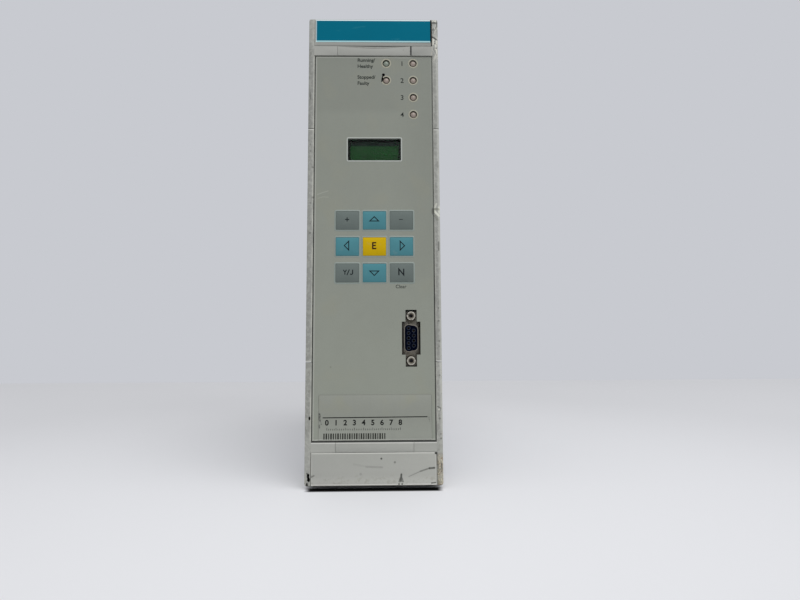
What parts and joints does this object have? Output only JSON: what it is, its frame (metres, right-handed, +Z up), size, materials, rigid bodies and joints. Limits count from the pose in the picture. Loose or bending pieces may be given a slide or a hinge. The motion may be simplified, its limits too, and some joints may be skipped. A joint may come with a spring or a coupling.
{
  "type": "relay",
  "caption": "Narrow upright protection relay for panel mounting, with lamps, a small display, keys, a front serial port, pull-off screw caps and rear terminals.",
  "frame": {"origin": "centre of the four panel fixing slots, in the plane where the front frame meets the panel", "axes": "+X to the right seen from the front, +Y backwards into the panel, +Z up"},
  "size_m": [0.075, 0.2367, 0.266],
  "materials": {
    "frame_paint": "satin light grey lacquer, chipped at the corners",
    "cap_paint": "satin light grey lacquer, scratched",
    "strip_colour": "satin teal film",
    "panel_plastic": "fine matt",
    "front_film": "fine-grained printed film",
    "label_film": "satin film",
    "window_pane": "clear pane",
    "display_dark": "dark green display glass in a black bezel",
    "lamp_red": "milky unlit lamp",
    "lamp_clear": "clear unlit lamp",
    "black_plastic": "moulded",
    "key_grey": "satin",
    "key_blue": "satin",
    "key_yellow": "satin",
    "port_metal": "tin-plated",
    "port_blue": "moulded",
    "circuit_board": "green lacquer",
    "zinc_steel": "zinc-plated",
    "housing_sheet": "zinc-coated sheet",
    "ribbon_grey": "ribbed cable",
    "chip_black": "moulded",
    "battery_wrap": "shrink sleeve",
    "core_iron": "stacked sheets and wound bobbin",
    "capacitor_sleeve": "shrink sleeve",
    "relay_case": "moulded case",
    "opto_white": "moulded",
    "brass_parts": "nickelled brass"
  },
  "bodies": {
    "case": {"frame_top": "frame_paint", "frame_bottom": "frame_paint", "side_strip_left": "frame_paint", "side_strip_right": "frame_paint", "latch_top": "frame_paint", "latch_bottom": "frame_paint", "front_panel": "panel_plastic", "front_foil": "front_film", "label_plate": "label_film", "display_window": "window_pane", "display_module": "display_dark", "status_leds": "lamp_red", "service_led": "lamp_clear", "led_spacers": "black_plastic", "key_switches": "black_plastic", "front_port_shell": "port_metal", "front_port_insulator": "port_blue", "front_port_jacks": "port_metal", "operator_board": "circuit_board", "board_screws": "zinc_steel", "ribbon_cable": "ribbon_grey", "housing_shell": "housing_sheet", "rear_plate": "housing_sheet", "flange_top": "zinc_steel", "flange_bottom": "zinc_steel", "housing_screws": "zinc_steel", "card_guides": "black_plastic", "cpu_board": "circuit_board", "processor": "chip_black", "memory_chips": "chip_black", "battery": "battery_wrap", "battery_holder": "black_plastic", "io_board": "circuit_board", "power_transformer": "core_iron", "capacitors": "capacitor_sleeve", "output_relays": "relay_case", "current_transformers": "core_iron", "optocouplers": "opto_white", "current_block": "black_plastic", "current_screws": "brass_parts", "upper_block": "black_plastic", "lower_block": "black_plastic", "block_screws": "zinc_steel", "rear_port_shell": "port_metal", "rear_port_insulator": "black_plastic", "rear_port_jacks": "port_metal", "earth_stud": "brass_parts"},
    "top_cap": {"top_cap": "frame_paint", "colour_strip": "strip_colour"},
    "bottom_cap": {"bottom_cap": "cap_paint"},
    "key_plus": {"key_plus": "key_grey"},
    "key_up": {"key_up": "key_blue"},
    "key_minus": {"key_minus": "key_grey"},
    "key_left": {"key_left": "key_blue"},
    "key_enter": {"key_enter": "key_yellow"},
    "key_right": {"key_right": "key_blue"},
    "key_yes": {"key_yes": "key_grey"},
    "key_down": {"key_down": "key_blue"},
    "key_no": {"key_no": "key_grey"}
  },
  "joints": [
    {"name": "top_cap_pull", "type": "slide", "parent": "case", "child": "top_cap", "axis": [0, -1, 0], "range_m": [0, 0.03]},
    {"name": "bottom_cap_pull", "type": "slide", "parent": "case", "child": "bottom_cap", "axis": [0, -1, 0], "range_m": [0, 0.03]},
    {"name": "key_plus_press", "type": "slide", "parent": "case", "child": "key_plus", "axis": [0, 1, 0], "range_m": [0, 0.0004], "stiffness_N_per_m": 600},
    {"name": "key_up_press", "type": "slide", "parent": "case", "child": "key_up", "axis": [0, 1, 0], "range_m": [0, 0.0004], "stiffness_N_per_m": 600},
    {"name": "key_minus_press", "type": "slide", "parent": "case", "child": "key_minus", "axis": [0, 1, 0], "range_m": [0, 0.0004], "stiffness_N_per_m": 600},
    {"name": "key_left_press", "type": "slide", "parent": "case", "child": "key_left", "axis": [0, 1, 0], "range_m": [0, 0.0004], "stiffness_N_per_m": 600},
    {"name": "key_enter_press", "type": "slide", "parent": "case", "child": "key_enter", "axis": [0, 1, 0], "range_m": [0, 0.0004], "stiffness_N_per_m": 600},
    {"name": "key_right_press", "type": "slide", "parent": "case", "child": "key_right", "axis": [0, 1, 0], "range_m": [0, 0.0004], "stiffness_N_per_m": 600},
    {"name": "key_yes_press", "type": "slide", "parent": "case", "child": "key_yes", "axis": [0, 1, 0], "range_m": [0, 0.0004], "stiffness_N_per_m": 600},
    {"name": "key_down_press", "type": "slide", "parent": "case", "child": "key_down", "axis": [0, 1, 0], "range_m": [0, 0.0004], "stiffness_N_per_m": 600},
    {"name": "key_no_press", "type": "slide", "parent": "case", "child": "key_no", "axis": [0, 1, 0], "range_m": [0, 0.0004], "stiffness_N_per_m": 600}
  ]
}
